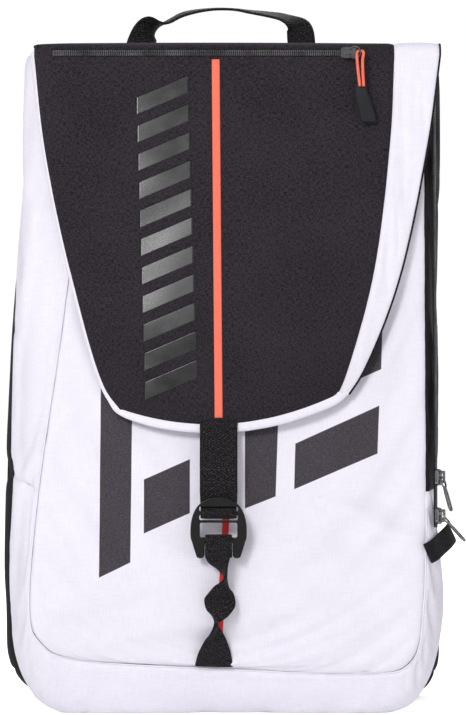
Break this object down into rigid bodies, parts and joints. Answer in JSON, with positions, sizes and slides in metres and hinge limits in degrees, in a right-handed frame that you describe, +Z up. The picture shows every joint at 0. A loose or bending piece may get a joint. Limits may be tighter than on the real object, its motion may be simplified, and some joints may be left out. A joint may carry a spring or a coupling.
{
  "type": "racket backpack",
  "caption": "Upright padded racket backpack with a fold-over flap, strap and hook closure on a twisted loop chain, side zip, grab handle and shoulder harness.",
  "frame": {"origin": "centre of the flat base that the bag stands on", "axes": "+Z up the bag, -Y out of the front flap, +X to the right seen from the front"},
  "size_m": [0.3697, 0.2722, 0.5684],
  "materials": {
    "white_cloth": "matte coated polyester",
    "charcoal_cloth": "heather weave",
    "black_cloth": "plain weave",
    "black_webbing": "ribbed webbing",
    "spacer_mesh": "open mesh over foam",
    "coral_tape": "satin tape",
    "black_plastic": "satin",
    "grip_rubber": "matte",
    "gunmetal": "polished gunmetal"
  },
  "bodies": {
    "pack": {"front_panel": "white_cloth", "left_gusset": "white_cloth", "lower_gusset": "white_cloth", "right_gusset": "black_cloth", "rear_gusset_left": "black_cloth", "rear_gusset_base": "black_cloth", "rear_gusset_right": "black_cloth", "back_panel": "black_cloth", "divider": "charcoal_cloth", "mouth_binding": "black_webbing", "back_pad_left": "spacer_mesh", "back_pad_right": "spacer_mesh", "lumbar_pad": "spacer_mesh", "harness_yoke": "black_cloth", "strap_anchor_left": "black_cloth", "strap_anchor_right": "black_cloth", "handle_anchor_left": "black_webbing", "handle_anchor_right": "black_webbing", "front_tape": "coral_tape", "loop_chain": "black_webbing", "side_zip_chain": "black_webbing", "side_tab": "black_webbing"},
    "handle": {"grab_handle": "black_webbing"},
    "left_harness": {"shoulder_pad_left": "spacer_mesh", "ladder_lock_left": "black_plastic", "lower_webbing_left": "black_webbing"},
    "right_harness": {"shoulder_pad_right": "spacer_mesh", "ladder_lock_right": "black_plastic", "lower_webbing_right": "black_webbing"},
    "cover": {"mouth_cover": "charcoal_cloth"},
    "flap": {"flap_panel": "charcoal_cloth", "flap_lining": "black_cloth", "flap_wing_right": "white_cloth", "flap_wing_left": "white_cloth", "flap_hem": "white_cloth", "flap_stripe": "coral_tape", "flap_zip_chain": "black_webbing"},
    "flap_slider": {"flap_zip_slider": "gunmetal"},
    "flap_pull": {"flap_zip_ring": "gunmetal", "flap_zip_cord": "coral_tape", "flap_zip_grip": "grip_rubber"},
    "closure_strap": {"closure_strap": "black_webbing"},
    "closure_hook": {"closure_hook": "black_plastic"},
    "upper_slider": {"side_slider_upper": "gunmetal"},
    "upper_pull": {"side_pull_upper": "gunmetal"},
    "lower_slider": {"side_slider_lower": "gunmetal"},
    "lower_pull": {"side_pull_lower": "gunmetal"}
  },
  "joints": [
    {"name": "handle_fold", "type": "hinge", "parent": "pack", "child": "handle", "pos_m": [0.005, 0.0944, 0.5212], "axis": [-1, 0, 0], "range_deg": [0, 85]},
    {"name": "left_harness_swing", "type": "hinge", "parent": "pack", "child": "left_harness", "pos_m": [-0.116, 0.0934, 0.048], "axis": [-0.1974, -0.0058, -0.9803], "range_deg": [0, 60]},
    {"name": "right_harness_swing", "type": "hinge", "parent": "pack", "child": "right_harness", "pos_m": [0.116, 0.0934, 0.048], "axis": [-0.1974, 0.0058, 0.9803], "range_deg": [0, 60]},
    {"name": "cover_lift", "type": "hinge", "parent": "pack", "child": "cover", "pos_m": [0.01, 0.0904, 0.5275], "axis": [-1, 0, 0], "range_deg": [0, 80]},
    {"name": "flap_lift", "type": "hinge", "parent": "cover", "child": "flap", "pos_m": [0, -0.0515, 0.5292], "axis": [-1, 0, 0], "range_deg": [0, 120]},
    {"name": "flap_zip_slide", "type": "slide", "parent": "flap", "child": "flap_slider", "axis": [1, 0, 0], "range_m": [-0.215, 0]},
    {"name": "flap_pull_swing", "type": "hinge", "parent": "flap_slider", "child": "flap_pull", "pos_m": [0.1, -0.06179, 0.5215], "axis": [0, 0, -1], "range_deg": [0, 110]},
    {"name": "strap_lift", "type": "hinge", "parent": "flap", "child": "closure_strap", "pos_m": [-0.0025, -0.10536, 0.232], "axis": [-1, 0, 0], "range_deg": [0, 90]},
    {"name": "hook_tilt", "type": "hinge", "parent": "closure_strap", "child": "closure_hook", "pos_m": [-0.0025, -0.118, 0.1608], "axis": [-1, 0, 0], "range_deg": [0, 4.5]},
    {"name": "upper_zip_slide", "type": "slide", "parent": "pack", "child": "upper_slider", "axis": [0, 0.1272, 0.9919], "range_m": [0, 0.295]},
    {"name": "upper_pull_swing", "type": "hinge", "parent": "upper_slider", "child": "upper_pull", "pos_m": [0.17253, -0.08633, 0.18737], "axis": [-0.408, -0.9056, 0.1162], "range_deg": [-2, 120]},
    {"name": "lower_zip_slide", "type": "slide", "parent": "pack", "child": "lower_slider", "axis": [0, 0.1272, 0.9919], "range_m": [0, 0.007]},
    {"name": "lower_pull_swing", "type": "hinge", "parent": "lower_slider", "child": "lower_pull", "pos_m": [0.17253, -0.09018, 0.15737], "axis": [-0.408, -0.9056, 0.1162], "range_deg": [-30, 28]}
  ]
}
